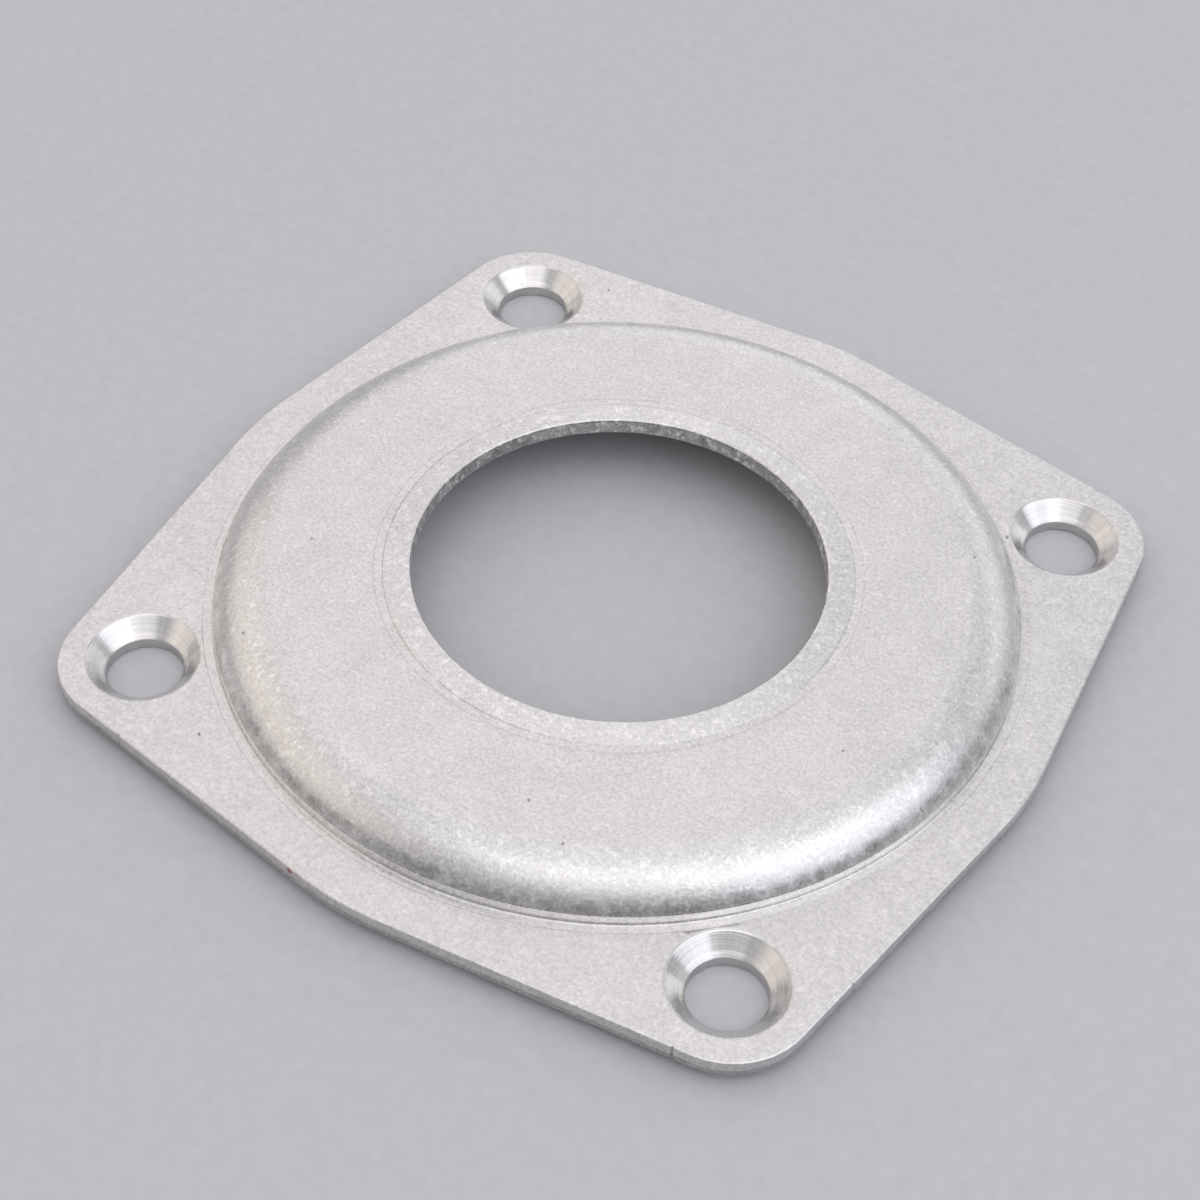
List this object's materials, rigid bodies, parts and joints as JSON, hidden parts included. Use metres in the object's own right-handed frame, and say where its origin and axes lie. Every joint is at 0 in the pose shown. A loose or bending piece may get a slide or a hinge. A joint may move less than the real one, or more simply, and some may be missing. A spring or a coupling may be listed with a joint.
{
  "type": "cover plate",
  "caption": "Square pressed sheet cover plate with softly bulged sides, a low round dome, a raised-lip centre bore and dimpled countersunk corner holes.",
  "frame": {"origin": "centre of the four holes, on the underside of the flat flange, the face that seats on the housing", "axes": "+Z along the bore, up out of the dome; +X and +Y parallel to the rows of holes"},
  "size_m": [0.0988, 0.0988, 0.0083],
  "materials": {
    "bare_aluminium": "bare, tumbled to a fine satin"
  },
  "bodies": {
    "root": {"cover_plate": "bare_aluminium"}
  },
  "joints": []
}
